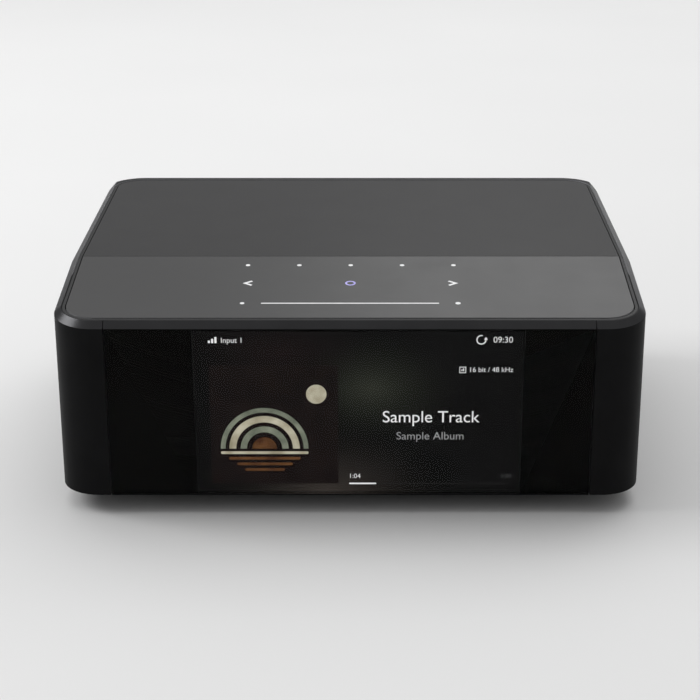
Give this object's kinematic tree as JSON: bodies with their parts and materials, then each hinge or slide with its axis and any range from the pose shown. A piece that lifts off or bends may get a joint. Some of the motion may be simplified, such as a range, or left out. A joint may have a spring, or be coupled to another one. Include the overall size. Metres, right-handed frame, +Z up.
{
  "type": "network music streamer",
  "caption": "Low half-width network music streamer: rounded dark metal casing, glass front with display, sloped touch panel on top, audio and network sockets at the back.",
  "frame": {"origin": "on the table under the middle of the outline, sockets included", "axes": "+X to the viewer's right, +Y from the front to the back, +Z up"},
  "size_m": [0.22, 0.19, 0.0835],
  "materials": {
    "casing": "satin black anodised",
    "fascia": "satin black moulding",
    "front_glass": "clear polished glass with a black printed border",
    "control_glass": "back-printed dark glass, polished",
    "top_plate": "satin dark moulding",
    "carrier": "black moulding",
    "base": "fine black powder coat",
    "foot_rubber": "matte black rubber",
    "screw_steel": "zinc plated",
    "rear_panel": "fine black powder coat",
    "socket_black": "black moulding",
    "shutter_black": "dark moulding",
    "socket_shield": "nickel plated",
    "gold_plate": "gold plated",
    "pin_metal": "nickel plated",
    "ring_white": "white moulding",
    "ring_red": "red moulding",
    "ring_black": "black moulding",
    "ring_orange": "orange moulding",
    "insulator": "natural moulding",
    "display": "display glass",
    "frame_metal": "pressed sheet",
    "flex_amber": "polyimide film",
    "board_green": "glass fibre board with solder mask",
    "chip_black": "moulded package",
    "sink_metal": "extruded",
    "antenna": "flexible antenna",
    "transformer": "wound copper on a ferrite core",
    "capacitor": "sleeved can",
    "lead_red": "insulated wires"
  },
  "bodies": {
    "chassis": {"body_shell": "casing", "front_fascia": "fascia", "front_glass": "front_glass", "control_glass": "control_glass", "top_plate": "top_plate", "top_carrier": "carrier", "base_plate": "base", "foot_front_left": "foot_rubber", "foot_front_right": "foot_rubber", "foot_rear_left": "foot_rubber", "foot_rear_right": "foot_rubber", "foot_screws": "screw_steel", "base_screws": "screw_steel", "rear_panel": "rear_panel", "rear_screws": "screw_steel", "mains_inlet": "socket_black", "mains_pins": "pin_metal", "ethernet_shield": "socket_shield", "ethernet_insert": "socket_black", "ethernet_contacts": "gold_plate", "usb_shell": "socket_shield", "usb_tongue": "socket_black", "hdmi_shell": "socket_shield", "hdmi_tongue": "socket_black", "optical_in_socket": "socket_black", "optical_out_socket": "socket_black", "xlr_left_socket": "socket_black", "xlr_right_socket": "socket_black", "xlr_pins": "gold_plate", "phono_collars": "gold_plate", "line_left_ring": "ring_white", "line_right_ring": "ring_red", "sub_ring": "ring_black", "coax_ring": "ring_orange", "phono_insulators": "insulator", "phono_contacts": "gold_plate", "phono_nuts": "socket_shield", "trigger_jack": "socket_black", "headphone_jack_left": "socket_black", "headphone_jack_right": "socket_black", "display_panel": "display", "display_frame": "frame_metal", "display_ribbon": "flex_amber", "touch_board": "board_green", "touch_ribbon": "flex_amber", "main_board": "board_green", "board_standoffs": "gold_plate", "board_screws": "screw_steel", "board_chips": "chip_black", "heat_sink": "sink_metal", "wireless_module": "socket_shield", "antennas": "antenna", "power_board": "board_green", "transformer": "transformer", "capacitors": "capacitor", "power_lead": "lead_red", "output_board": "board_green"},
    "optical_in_shutter": {"optical_in_shutter": "shutter_black"},
    "optical_out_shutter": {"optical_out_shutter": "shutter_black"}
  },
  "joints": [
    {"name": "optical_in_hinge", "type": "hinge", "parent": "chassis", "child": "optical_in_shutter", "pos_m": [0.024, 0.0846, 0.0268], "axis": [-1, 0, 0], "range_deg": [0, 80], "stiffness_Nm_per_rad": 0.0004, "springref_deg": -20.05},
    {"name": "optical_out_hinge", "type": "hinge", "parent": "chassis", "child": "optical_out_shutter", "pos_m": [0.042, 0.0846, 0.0268], "axis": [-1, 0, 0], "range_deg": [0, 80], "stiffness_Nm_per_rad": 0.0004, "springref_deg": -20.05}
  ]
}
